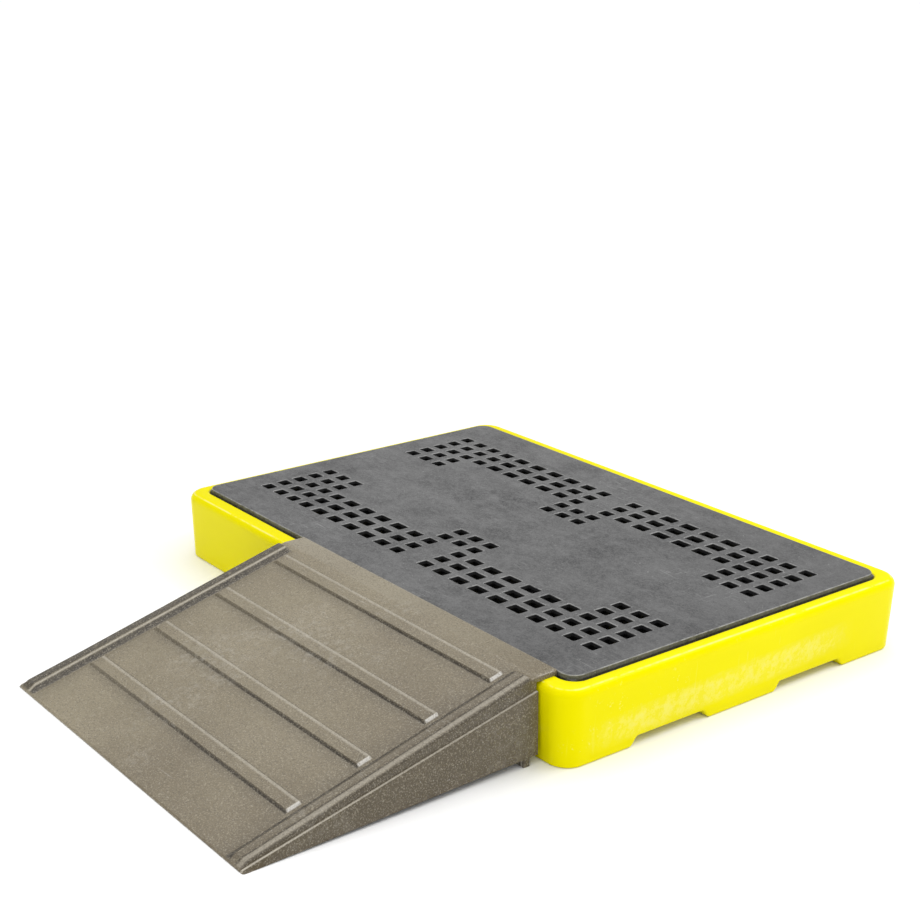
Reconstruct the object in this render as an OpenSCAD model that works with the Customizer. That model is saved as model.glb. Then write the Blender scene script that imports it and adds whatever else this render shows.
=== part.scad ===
// Spill containment pallet for two drums: a low sump tray, a lift-out perforated deck
// on ten support columns, and a hook-on drum ramp.
// The origin is the centre of the tray's underside; +Z is up and the ramp is on the -Y side.

/* [Sump tray] */
// Length of the tray at its rim
tray_l = 1260; // [1240:1:1280]
// Width of the tray at its rim
tray_w = 884; // [876:1:900]
// Height of the rim above the floor
rim_h = 147.5; // [140:0.5:150]
// Wall thickness
wall_t = 6; // [4:0.5:8]
// Plan radius of the rim's corners
corner_r = 48; // [40:1:60]
// Radius that rolls the wall over into the rim
rim_round = 22; // [12:1:26]
// Draft of the outer wall in degrees
draft = 2.75; // [1:0.25:4]

/* [Base channels] */
// Height of the two channels under the base
channel_h = 17; // [12:1:24]
// Nearest and furthest edge of a channel's ceiling from the centre line
channel_in = 103; // [96:1:110]
channel_out = 263; // [250:1:268]
// How far a channel's sloped sides lean out
channel_lean = 19; // [10:1:24]

/* [Deck] */
// Length of the deck panel
deck_l = 1192; // [1188:1:1194]
// Width of the deck panel
deck_w = 797; // [794:1:799]
// Height of the deck's top face
deck_top = 155; // [152:0.5:158]
// Thickness of the panel
plate_t = 8; // [6:0.5:9]
// Depth of the ribs below the panel
rib_depth = 22; // [16:1:26]
// Corner radius of the panel
deck_r = 27; // [20:1:34]
// Depth of a drain hole across the deck
hole_d = 25.5; // [20:0.5:28]
// Solid web between neighbouring holes in a row
hole_web = 18.4; // [16:0.2:20]
// Distance between rows of holes
row_pitch = 41; // [38:0.5:43]
// Distance of the innermost row from the centre line
row_first = 119; // [116:0.5:122]

/* [Support columns] */
// Outer diameter of a column
column_d = 70; // [60:1:80]
// Diameter of its head flange
head_d = 96; // [84:1:104]
// Spacing of the columns along the deck
column_pitch = 262; // [240:1:268]
// Distance of each row of columns from the centre line
column_y = 183; // [175:1:190]

/* [Ramp] */
// Width over the ramp's rails
ramp_w = 773; // [740:1:780]
// Offset of the ramp along the tray
ramp_x = 175; // [-200:1:200]
// Distance of the ramp's front edge from the tray's centre line
ramp_foot = 1034; // [1000:1:1060]
// Distance of the fold between slope and lip from the centre line
ramp_fold = 447; // [446:1:450]
// Height of the ramp's lip
lip_top = 158; // [157:0.5:160]
// Thickness of the ramp's skin
skin_t = 5; // [4:0.5:6]
// Number of cross ribs on the tread
tread_ribs = 4; // [2:1:4]

/* [Hidden] */
$fn = 64;

// Tray
deck_gap = 4.8;                        // clear gap all round the deck panel
open_l = deck_l + 2 * deck_gap;        // opening inside the rim
open_w = deck_w + 2 * deck_gap;
ledge_z = deck_top - plate_t - rib_depth;   // ledge that carries the deck
ledge_w = 16;                          // width of that ledge
floor_in = 3;                          // floor plates sink this far into the walls

// Deck
hole_widths = [30, 34, 38, 38, 38, 38, 32, 30, 30, 30];   // from the middle outwards
centre_hole = 30;                      // width of the holes on the deck's centre line
skirt_in = 3;                          // ribs start this far inside the panel's edge
rib_t = 6;

// Columns
column_t = 5;
head_t = 6;
floor_z = channel_h + wall_t;          // raised floor over the channels

// Ramp
lip_gap = 0.7;                         // hook clearance to the deck and to the rim
hook_t = deck_gap - 2 * lip_gap;
hook_d = 18;                           // hook's depth below the rim's top
front_t = 4;                           // thickness of the front edge
rail_h = 5.5;                          // side rails stand this far above the tread
rail_w = 43;                           // side rail's whole width
rail_lean = 11;                        // width of its inner slope
ledge_drop = 25;                       // ledge below the tread at the fold
ledge_out = 9.5;                       // skirt stands this far outside the rail
skirt_lift = 17;                       // skirt's clearance above the floor at the back
web_pitch = 128;                       // stiffening webs below the tread
leg_w = 20;
leg_d = 14;
tread_rib_h = 4.5;
tread_rib_w = 33;
tread_rib_l = 670;
tread_rib_pitch = 141.5;
tread_rib_first = 138;

slope = atan((lip_top - front_t) / (ramp_foot - ramp_fold));
slope_l = (ramp_foot - ramp_fold) / cos(slope);

// Points of an arc about c, from angle a to angle b
function arc(c, r, a, b, n = 10) =
    [for (i = [0:n]) c + r * [cos(a + (b - a) * i / n), sin(a + (b - a) * i / n)]];

// Outline of a rectangle with round corners, centred on the origin
function round_rect(l, w, r) = concat(
    arc([l / 2 - r, w / 2 - r], r, 0, 90), arc([r - l / 2, w / 2 - r], r, 90, 180),
    arc([r - l / 2, r - w / 2], r, 180, 270), arc([l / 2 - r, r - w / 2], r, 270, 360));

// A YZ outline extruded along X, centred on x
module across(x, w, points) {
    translate([x - w / 2, 0, 0]) rotate([90, 0, 90]) linear_extrude(w) polygon(points);
}

// ---------- sump tray ----------

// Section of the outer wall and its rolled rim, measured outwards from the corner's axis
module wall_section() {
    hub = [corner_r - rim_round, rim_h - rim_round];
    outer = arc(hub, rim_round, -draft, 90);
    inner = arc(hub, rim_round - wall_t, 90, -draft);
    drop_outer = outer[0][1] * tan(draft);
    drop_inner = inner[10][1] * tan(draft);
    polygon(concat([[outer[0][0] - drop_outer, 0]], outer,
        [[hub[0] - 2, rim_h], [hub[0] - 2, rim_h - wall_t]], inner,
        [[inner[10][0] - drop_inner, 0]]));
}

// The section swept round the tray
module outer_wall() {
    half_l = tray_l / 2 - corner_r;
    half_w = tray_w / 2 - corner_r;
    for (side = [0, 1]) rotate(180 * side) {
        translate([half_l, half_w, 0]) rotate([90, 0, 0]) linear_extrude(2 * half_w) wall_section();
        translate([-half_l, half_w, 0]) rotate([90, 0, 90]) linear_extrude(2 * half_l) wall_section();
        translate([half_l, half_w, 0]) rotate_extrude(angle = 90) wall_section();
        translate([-half_l, half_w, 0]) rotate(90) rotate_extrude(angle = 90) wall_section();
    }
}

// Flat ring between two rounded outlines
module ring(l, w, r, hole_l, hole_w, hole_r, z, h) {
    translate([0, 0, z]) linear_extrude(h) difference() {
        polygon(round_rect(l, w, r));
        polygon(round_rect(hole_l, hole_w, hole_r));
    }
}

// Rim plate, the wall that drops from it, and the ledge under the deck's edge
module rim() {
    inset = 2 * rim_round + 2;
    opening_r = deck_r + deck_gap;
    ring(tray_l - inset, tray_w - inset, corner_r - rim_round - 1,
         open_l, open_w, opening_r, rim_h - wall_t, wall_t);
    ring(open_l + 2 * wall_t, open_w + 2 * wall_t, opening_r + wall_t,
         open_l, open_w, opening_r, ledge_z - wall_t, rim_h - ledge_z + wall_t);
    ring(open_l + wall_t, open_w + wall_t, opening_r + wall_t / 2,
         open_l - 2 * ledge_w, open_w - 2 * ledge_w, opening_r - ledge_w, ledge_z - wall_t, wall_t);
}

// YZ outline of one channel under the base, on the side of the sign given
function channel_outline(side, up = 0, in = 0) = [for (p = [
    [channel_in - channel_lean - in, -1], [channel_in - in, channel_h + up],
    [channel_out + in, channel_h + up], [channel_out + channel_lean + in, -1]])
    [side * p[0], p[1]]];

// Floor of the sump, which steps up over both channels
module sump_floor() {
    base_l = tray_l - 2 * rim_h * tan(draft);
    base_w = tray_w - 2 * rim_h * tan(draft);
    inset = 2 * floor_in;
    intersection() {
        linear_extrude(floor_z) polygon(round_rect(base_l - inset, base_w - inset, corner_r - 10));
        union() {
            across(0, base_l, [[-base_w / 2, 0], [base_w / 2, 0], [base_w / 2, wall_t], [-base_w / 2, wall_t]]);
            for (side = [-1, 1]) across(0, base_l, channel_outline(side, wall_t, wall_t));
        }
    }
}

module sump_tray() {
    color("#f5ea10") union() {
        rim();
        difference() {
            union() {
                outer_wall();
                sump_floor();
            }
            for (side = [-1, 1]) across(0, tray_l + 2, channel_outline(side));
        }
    }
}

// ---------- deck ----------

// Distance of a hole's centre, or of the web outside it, from the deck's middle
function hole_start(i) = i == 0 ? 31.9 : hole_start(i - 1) + hole_widths[i - 1] + hole_web;
function hole_x(i) = hole_start(i) + hole_widths[i] / 2;
function web_x(i) = hole_start(i) - hole_web / 2;
function row_y(i) = row_first + i * row_pitch;

module hole(x, y, w) {
    translate([x, y]) square([w, hole_d], center = true);
}

// Drain holes: three full rows along each side, and short rows that close each drum's ring
module hole_pattern() {
    last = len(hole_widths) - 1;
    for (sx = [-1, 1], sy = [-1, 1]) {
        for (row = [2:4], i = [0:last]) hole(sx * hole_x(i), sy * row_y(row), hole_widths[i]);
        for (row = [0:1], i = [0, last - 2, last - 1, last])
            hole(sx * hole_x(i), sy * row_y(row), hole_widths[i]);
    }
    for (row = [0:1], sy = [-1, 1]) hole(0, sy * row_y(row), centre_hole);
}

// Ribs under the panel, which stand under the webs between the holes
module rib_pattern() {
    inner_l = deck_l - 2 * skirt_in;
    inner_w = deck_w - 2 * skirt_in;
    difference() {
        polygon(round_rect(inner_l, inner_w, deck_r - skirt_in));
        polygon(round_rect(inner_l - 2 * rib_t, inner_w - 2 * rib_t, deck_r - skirt_in - rib_t));
    }
    for (i = [0:2:10], sx = [-1, 1])
        translate([sx * (i < 10 ? web_x(i) : hole_x(9) + hole_widths[9] / 2 + hole_web / 2), 0])
            square([rib_t, inner_w - rib_t], center = true);
    for (row = [0, 2, 4], sy = [-1, 1])
        translate([0, sy * (row_y(row) + row_pitch / 2)]) square([inner_l - rib_t, rib_t], center = true);
    for (sy = [-1, 1]) translate([0, sy * row_y(-1)]) square([inner_l - rib_t, rib_t], center = true);
    square([inner_l - rib_t, rib_t], center = true);
}

module deck_grating() {
    color("#65666a") union() {
        translate([0, 0, deck_top - plate_t]) linear_extrude(plate_t) difference() {
            polygon(round_rect(deck_l, deck_w, deck_r));
            hole_pattern();
        }
        translate([0, 0, ledge_z]) linear_extrude(rib_depth + 1) rib_pattern();
    }
}

// ---------- support columns ----------

// Place of each column: five along each side
function column_at(i) = [(i % 5 - 2) * column_pitch, i < 5 ? -column_y : column_y];

// Hollow column with a flange that carries the deck's ribs
module support_column(i) {
    color("#3c3d40") translate(concat(column_at(i), [0])) rotate_extrude() polygon([
        [column_d / 2 - column_t, floor_z], [column_d / 2, floor_z], [column_d / 2, ledge_z - head_t],
        [head_d / 2, ledge_z - head_t], [head_d / 2, ledge_z], [column_d / 2 - column_t, ledge_z]]);
}

// ---------- ramp ----------

// Height of the tread, of the ledge along its side and of the skirt's lower edge at y
function along(y) = (ramp_foot + y) / (ramp_foot - ramp_fold);
function tread_z(y) = front_t + (lip_top - front_t) * along(y);
function side_ledge_z(y) = tread_z(y) - ledge_drop * along(y);
function skirt_z(y) = skirt_lift * along(y);

// Slope, lip and hook as one bent skin; the lip's edge is solid down to the rim
module ramp_skin() {
    back = -deck_w / 2 - lip_gap;
    under = skin_t / cos(slope);
    rest_y = -ramp_foot + (under + 1) / tan(slope);
    across(ramp_x, ramp_w, [
        [-ramp_foot, 0], [-ramp_foot, front_t], [-ramp_fold, lip_top], [back, lip_top],
        [back, rim_h - hook_d], [back - hook_t, rim_h - hook_d], [back - hook_t, rim_h],
        [back - 12, rim_h], [back - 12, lip_top - skin_t],
        [-ramp_fold + 1, lip_top - skin_t], [rest_y, tread_z(rest_y) - under], [rest_y, 0]]);
}

// Solid end of the lip over the rim
module lip_end(x) {
    back = -deck_w / 2 - lip_gap - hook_t;
    across(x, skin_t, [[-ramp_fold, rim_h], [-ramp_fold, lip_top], [back, lip_top], [back, rim_h]]);
}

// Upper side wall, ledge and lower skirt on one side
module ramp_side(side) {
    x_wall = ramp_x + side * (ramp_w - skin_t) / 2;
    x_skirt = ramp_x + side * (ramp_w / 2 + ledge_out - skin_t / 2);
    y0 = -ramp_foot;
    y1 = -ramp_fold;
    across(x_wall, skin_t, [[y0, 0], [y0, front_t], [y1, lip_top], [y1, side_ledge_z(y1) - skin_t],
        [y0 + 20, 0]]);
    across(x_skirt, skin_t, [[y0, 0], [y0, front_t], [y1, side_ledge_z(y1)], [y1, skirt_z(y1)]]);
    across(ramp_x + side * (ramp_w / 2 + ledge_out / 2 - skin_t / 2), ledge_out + skin_t,
        [[y0, 0], [y0, front_t], [y1, side_ledge_z(y1)], [y1, side_ledge_z(y1) - skin_t], [y0 + 20, 0]]);
}

// Stiffening web below the tread
module ramp_web(x) {
    y0 = -ramp_foot + 14;
    y1 = -ramp_fold;
    across(x, skin_t, [[y0, 0], [y0, tread_z(y0) - 2], [y1, lip_top - 2], [y1, skirt_z(y1)]]);
}

// Leg that carries the back of the ramp
module ramp_leg(x) {
    y = -ramp_fold - 24;
    translate([x - leg_w / 2, y - leg_d / 2, 0]) cube([leg_w, leg_d, skirt_lift + 14]);
}

// Moves into the tread's own frame: +Y up the slope from the front edge
module on_tread() {
    translate([ramp_x, -ramp_foot, front_t]) rotate([slope, 0, 0]) children();
}

// Raised rail along one side of the tread, with a shallow groove along its top
module ramp_rail(side) {
    w = ramp_w / 2;
    on_tread() translate([0, slope_l - 6, 0]) rotate([90, 0, 0]) linear_extrude(slope_l - 14)
        polygon([for (p = [
            [w - rail_w, -1], [w - rail_w, 0], [w - rail_w + rail_lean, rail_h],
            [w - 21.5, rail_h], [w - 20.5, rail_h - 1.2], [w - 19, rail_h - 1.2], [w - 18, rail_h],
            [w - 6.5, rail_h], [w - 2, rail_h - 2], [w, 0], [w, -1]]) [side * p[0], p[1]]]);
}

// Raised cross rib on the tread, chamfered on all four sides
module tread_rib(i) {
    half_l = tread_rib_l / 2;
    half_w = tread_rib_w / 2;
    on_tread() translate([0, tread_rib_first + i * tread_rib_pitch, 0]) intersection() {
        rotate([90, 0, 90]) translate([0, 0, -half_l]) linear_extrude(2 * half_l) polygon([
            [-half_w, -1], [-half_w, 0], [-half_w + 4, tread_rib_h], [half_w - 4, tread_rib_h],
            [half_w, 0], [half_w, -1]]);
        rotate([90, 0, 0]) translate([0, 0, -half_w]) linear_extrude(2 * half_w) polygon([
            [-half_l, -1], [-half_l, 0], [-half_l + 4, tread_rib_h], [half_l - 4, tread_rib_h],
            [half_l, 0], [half_l, -1]]);
    }
}

module ramp() {
    skirt_mid = ramp_w / 2 + ledge_out - leg_w / 2;
    color("#968e7d") union() {
        ramp_skin();
        for (side = [-1, 1]) {
            ramp_side(side);
            ramp_rail(side);
            lip_end(ramp_x + side * (ramp_w - skin_t) / 2);
            ramp_leg(ramp_x + side * skirt_mid);
        }
        for (i = [-2:2]) {
            ramp_web(ramp_x + i * web_pitch);
            ramp_leg(ramp_x + i * web_pitch);
        }
        for (i = [0:tread_ribs - 1]) tread_rib(i);
    }
}

sump_tray();
deck_grating();
support_column(0);  // support_column_1
support_column(1);  // support_column_2
support_column(2);  // support_column_3
support_column(3);  // support_column_4
support_column(4);  // support_column_5
support_column(5);  // support_column_6
support_column(6);  // support_column_7
support_column(7);  // support_column_8
support_column(8);  // support_column_9
support_column(9);  // support_column_10
ramp();
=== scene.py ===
"""Looks of the spill containment pallet: sump tray, perforated deck, support columns and drum ramp.
Lengths are in metres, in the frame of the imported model: +Z up, the ramp on the -Y side."""
import math

import bmesh
import bpy
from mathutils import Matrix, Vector


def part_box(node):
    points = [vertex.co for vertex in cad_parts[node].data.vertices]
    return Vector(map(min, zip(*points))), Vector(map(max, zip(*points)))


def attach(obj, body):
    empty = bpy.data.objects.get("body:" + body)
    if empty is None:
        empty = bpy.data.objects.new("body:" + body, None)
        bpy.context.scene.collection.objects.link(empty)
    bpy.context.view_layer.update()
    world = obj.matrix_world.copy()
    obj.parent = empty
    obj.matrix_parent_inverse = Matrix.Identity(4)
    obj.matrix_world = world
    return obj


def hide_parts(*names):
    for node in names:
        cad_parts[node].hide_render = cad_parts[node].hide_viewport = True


MM = 0.001
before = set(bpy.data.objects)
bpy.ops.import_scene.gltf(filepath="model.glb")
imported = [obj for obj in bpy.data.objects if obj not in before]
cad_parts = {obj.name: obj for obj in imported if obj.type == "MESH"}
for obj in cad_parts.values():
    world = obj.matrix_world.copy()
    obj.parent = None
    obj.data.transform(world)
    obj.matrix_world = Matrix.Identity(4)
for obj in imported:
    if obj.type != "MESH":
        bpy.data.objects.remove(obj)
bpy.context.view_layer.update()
COLUMNS = sorted(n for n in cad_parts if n.startswith("support_column_"))

# ---------------------------------------------------------------- sizes, worked out from the frame

TRAY_L, TRAY_W, RIM_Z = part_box("sump_tray")[1]                  # half length, half width, rim height
DECK_LO, DECK_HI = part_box("deck_grating")
RAMP_LO, RAMP_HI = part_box("ramp")
DECK_L, DECK_W, DECK_Z = DECK_HI                                # half length, half width, top
LEDGE_Z = DECK_LO[2]

WALL = 6 * MM
DRAFT = math.radians(2.75)
CORNER_R = 48 * MM
RIM_R = 16 * MM                                                 # 22 mm in the CAD, about 12 mm in the photo
DECK_GAP = 4.8 * MM
DECK_R = 27 * MM
PLATE = 8 * MM
CHANNEL_H = 17 * MM
CHANNEL_EDGES = (84 * MM, 103 * MM, 263 * MM, 282 * MM)         # foot, ceiling, ceiling, foot

HOLE_WIDTHS = [w * MM for w in (30, 34, 38, 38, 38, 38, 32, 30, 30, 30)]
HOLE_START = 31.9 * MM
HOLE_WEB = 18.4 * MM
HOLE_D = 25.5 * MM
ROW_FIRST, ROW_PITCH, ROWS = 119 * MM, 41 * MM, 5

RAMP_X = (RAMP_LO[0] + RAMP_HI[0]) / 2
FOOT_Y, LIP_END = RAMP_LO[1], RAMP_HI[1]
FOLD_Y = -447 * MM
LIP_Z, FRONT_T = 158 * MM, 4 * MM
SKIN = 3.4 * MM
SLOPE = math.atan2(LIP_Z - FRONT_T, FOLD_Y - FOOT_Y)
SLOPE_L = (FOLD_Y - FOOT_Y) / math.cos(SLOPE)


# ---------------------------------------------------------------- mesh helpers

def finish_piece(name, bm, material, body, nodes, crease=32):
    """Turns a bmesh into a piece that rides on a body and stands for CAD nodes."""
    bmesh.ops.remove_doubles(bm, verts=bm.verts, dist=1e-6)
    bmesh.ops.recalc_face_normals(bm, faces=bm.faces)
    mesh = bpy.data.meshes.new(name)
    bm.to_mesh(mesh)
    bm.free()
    mesh.shade_smooth()
    mesh.set_sharp_from_angle(angle=math.radians(crease))
    piece = bpy.data.objects.new(name, mesh)
    bpy.context.collection.objects.link(piece)
    mesh.materials.append(material)
    if body:
        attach(piece, body)
        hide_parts(*nodes)
    return piece


def smooth(t):
    """Eased step from 0 at t = 0 to 1 at t = 1."""
    t = min(1.0, max(0.0, t))
    return t * t * (3 - 2 * t)


def arc(cx, cy, r, a, b, n):
    """Points of an arc from angle a to angle b, in degrees."""
    angles = [math.radians(a + (b - a) * i / n) for i in range(n + 1)]
    return [(cx + r * math.cos(t), cy + r * math.sin(t)) for t in angles]


def join_loops(bm, loops, close_ends=False):
    """Skins a list of closed vertex loops of equal length, and the last one to the first if asked."""
    pairs = list(zip(loops, loops[1:]))
    if close_ends:
        pairs.append((loops[-1], loops[0]))
    for a, b in pairs:
        n = len(a)
        for i in range(n):
            j = (i + 1) % n
            bm.faces.new((a[i], a[j], b[j], b[i]))


def lattice(bm, xs, ys, solid, z0, z1):
    """Plate between z0 and z1 on a grid of lines, with the cells that solid(x, y) refuses left open."""
    verts = {}

    def vert(i, j):
        if (i, j) not in verts:
            verts[i, j] = bm.verts.new((xs[i], ys[j], z1))
        return verts[i, j]

    faces = []
    for i in range(len(xs) - 1):
        for j in range(len(ys) - 1):
            if solid((xs[i] + xs[i + 1]) / 2, (ys[j] + ys[j + 1]) / 2):
                faces.append(bm.faces.new((vert(i, j), vert(i + 1, j), vert(i + 1, j + 1), vert(i, j + 1))))
    extruded = bmesh.ops.extrude_face_region(bm, geom=faces, use_keep_orig=True)["geom"]
    lower = [v for v in extruded if isinstance(v, bmesh.types.BMVert)]
    bmesh.ops.translate(bm, verts=lower, vec=(0, 0, z0 - z1))
    bmesh.ops.recalc_face_normals(bm, faces=bm.faces)


def lathe(bm, centre, outline, steps=48):
    """Closed outline of (radius, z) points turned about a vertical axis."""
    loops = []
    for k in range(steps):
        a = 2 * math.pi * k / steps
        loops.append([bm.verts.new((centre[0] + r * math.cos(a), centre[1] + r * math.sin(a), z))
                      for r, z in outline])
    join_loops(bm, loops, close_ends=True)


def block(bm, lo, hi, edge=0.0):
    """Box from corner to corner, with its edges rounded."""
    made = bmesh.ops.create_cube(bm, size=1.0)["verts"]
    for v in made:
        v.co = Vector([lo[k] if v.co[k] < 0 else hi[k] for k in range(3)])
    if edge:
        edges = {e for v in made for e in v.link_edges}
        bmesh.ops.bevel(bm, geom=list(edges), offset=edge, segments=3, profile=0.5, affect="EDGES")


# ---------------------------------------------------------------- materials

def nodes_of(name):
    material = bpy.data.materials.new(name)
    material.use_nodes = True
    tree = material.node_tree
    return material, tree, tree.nodes["Principled BSDF"]


class Shade:
    """Short names for the shader nodes that every material here is built from."""

    def __init__(self, tree):
        self.tree = tree
        self.place = self.node("ShaderNodeTexCoord").outputs["Object"]

    def node(self, kind, **values):
        made = self.tree.nodes.new(kind)
        for key, value in values.items():
            setattr(made, key, value)
        return made

    def link(self, out, socket):
        self.tree.links.new(out, socket)

    def stretched(self, scale, turn=(0, 0, 0)):
        """Object coordinates, scaled along each axis and turned by angles in degrees."""
        mapping = self.node("ShaderNodeMapping")
        mapping.inputs["Scale"].default_value = scale
        mapping.inputs["Rotation"].default_value = [math.radians(a) for a in turn]
        self.link(self.place, mapping.inputs["Vector"])
        return mapping.outputs["Vector"]

    def noise(self, scale, detail=4, rough=0.5, where=None, distort=0.0):
        made = self.node("ShaderNodeTexNoise")
        made.inputs["Scale"].default_value = scale
        made.inputs["Detail"].default_value = detail
        made.inputs["Roughness"].default_value = rough
        made.inputs["Distortion"].default_value = distort
        self.link(where or self.place, made.inputs["Vector"])
        return made.outputs["Fac"]

    def remap(self, value, lo, hi, to_lo=0.0, to_hi=1.0):
        """Straight ramp from to_lo at lo to to_hi at hi, level beyond both."""
        made = self.node("ShaderNodeMapRange")
        for socket, number in zip(("From Min", "From Max", "To Min", "To Max"), (lo, hi, to_lo, to_hi)):
            made.inputs[socket].default_value = number
        self.link(value, made.inputs["Value"])
        return made.outputs["Result"]

    def patches(self, lo, hi, *noise):
        """Noise with the settings given, spread so that it is 0 below lo and 1 above hi."""
        return self.remap(self.noise(*noise), lo, hi)

    def math(self, operation, *values):
        made = self.node("ShaderNodeMath", operation=operation)
        for socket, value in zip(made.inputs, values):
            if isinstance(value, (int, float)):
                socket.default_value = value
            else:
                self.link(value, socket)
        return made.outputs["Value"]

    def times(self, a, b):
        return self.math("MULTIPLY", a, b)

    def most(self, first, *others):
        for other in others:
            first = self.math("MAXIMUM", first, other)
        return first

    def away(self, value, middle):
        """Distance of a value from the middle given."""
        return self.math("ABSOLUTE", self.math("SUBTRACT", value, middle))

    def band(self, value, lo, hi, soft):
        """1 between lo and hi, 0 outside, with soft ends."""
        rise = self.remap(value, lo - soft, lo + soft)
        return self.times(rise, self.remap(value, hi - soft, hi + soft, 1.0, 0.0))

    def axes(self):
        split = self.node("ShaderNodeSeparateXYZ")
        self.link(self.place, split.inputs["Vector"])
        return split.outputs

    def mix(self, fac, a, b):
        made = self.node("ShaderNodeMix", data_type="RGBA")
        for key, kind, value in (("Factor", "VALUE", fac), ("A", "RGBA", a), ("B", "RGBA", b)):
            socket = [i for i in made.inputs if i.name == key and i.type == kind][0]
            if isinstance(value, tuple):
                socket.default_value = value + (1.0,)
            else:
                self.link(value, socket)
        return [o for o in made.outputs if o.type == "RGBA"][0]

    def bump(self, height, strength, distance, below=None):
        made = self.node("ShaderNodeBump")
        made.inputs["Strength"].default_value = strength
        made.inputs["Distance"].default_value = distance
        self.link(height, made.inputs["Height"])
        if below is not None:
            self.link(below, made.inputs["Normal"])
        return made.outputs["Normal"]

    def scratches(self, scale, turn, lo, hi):
        """Thin lines in one direction, broken up so that only some show."""
        lines = self.noise(1.0, 2, 0.4, self.stretched(scale, turn), 0.3)
        return self.times(self.remap(lines, lo, hi), self.patches(0.52, 0.66, 5.0, 3, 0.6))

    def finish(self, bsdf, colour, roughness, normal, specular):
        """Joins the results to the shader; the specular level is one number for the whole surface."""
        self.link(colour, bsdf.inputs["Base Color"])
        self.link(roughness, bsdf.inputs["Roughness"])
        self.link(normal, bsdf.inputs["Normal"])
        bsdf.inputs["Specular IOR Level"].default_value = specular


def yellow_plastic():
    """Bright yellow polyethylene, rubbed pale in a mottled band round the middle of its walls; painted
    highlight on the rim.
    """
    material, tree, bsdf = nodes_of("yellow_plastic")
    s = Shade(tree)
    x, y, z = s.axes()
    tone = s.mix(s.patches(0.35, 0.65, 3.0, 3), (0.81, 0.725, 0.0), (0.845, 0.765, 0.0))
    rubbed_tone, scuff_and_highlight_tone = (0.86, 0.79, 0.17), (0.92, 0.86, 0.36)

    band_slope, band_z, full_half, faded_half = 0.035, 58 * MM, 12 * MM, 32 * MM
    height = s.math("MULTIPLY_ADD", y, band_slope, band_z)
    middle = s.remap(s.away(z, height), full_half, faded_half, 1.0, 0.0)
    end_wall = s.times(s.band(y, -330 * MM, 240 * MM, 60 * MM), s.remap(x, 600 * MM, 605 * MM))
    places = s.most(s.patches(0.58, 0.68, 3.1, 2), end_wall)
    mottle = s.patches(0.44, 0.60, 48.0, 6, 0.74)
    rubbed = s.times(s.times(middle, places), s.remap(mottle, 0.0, 1.0, 0.22, 1.0))
    tone = s.mix(s.times(rubbed, 0.75), tone, rubbed_tone)

    scuffs = s.times(s.patches(0.60, 0.70, 90.0, 5, 0.8), s.patches(0.58, 0.68, 4.3, 2))
    lines = s.scratches((160, 160, 12), (0, 0, 20), 0.68, 0.74)
    # Painted highlight: a thin pale line along the rim's round, broken up by noise, stands in for the light
    # it catches.
    rim_highlight = s.band(z, RIM_Z - 2.7 * MM, RIM_Z - 1.5 * MM, 0.6 * MM)
    rim_highlight = s.times(rim_highlight, s.patches(0.40, 0.56, 26.0, 4, 0.6))
    # Real scuffs and scratches, mixed with the painted rim highlight into one pale mark.
    pale_marks = s.most(s.times(scuffs, 0.55), s.times(lines, 0.12), s.times(rim_highlight, 0.60))

    dullness = s.most(rubbed, s.times(s.noise(14.0, 4), 0.4))
    peel = s.bump(s.noise(260.0, 3), 0.08, 0.4 * MM)
    s.finish(bsdf, s.mix(pale_marks, tone, scuff_and_highlight_tone), s.remap(dullness, 0.0, 1.0, 0.20, 0.42),
             s.bump(s.noise(9.0, 2), 0.15, 2 * MM, peel), 0.07)
    bsdf.inputs["Specular Tint"].default_value = (1.0, 0.86, 0.20, 1.0)
    return material


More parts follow.
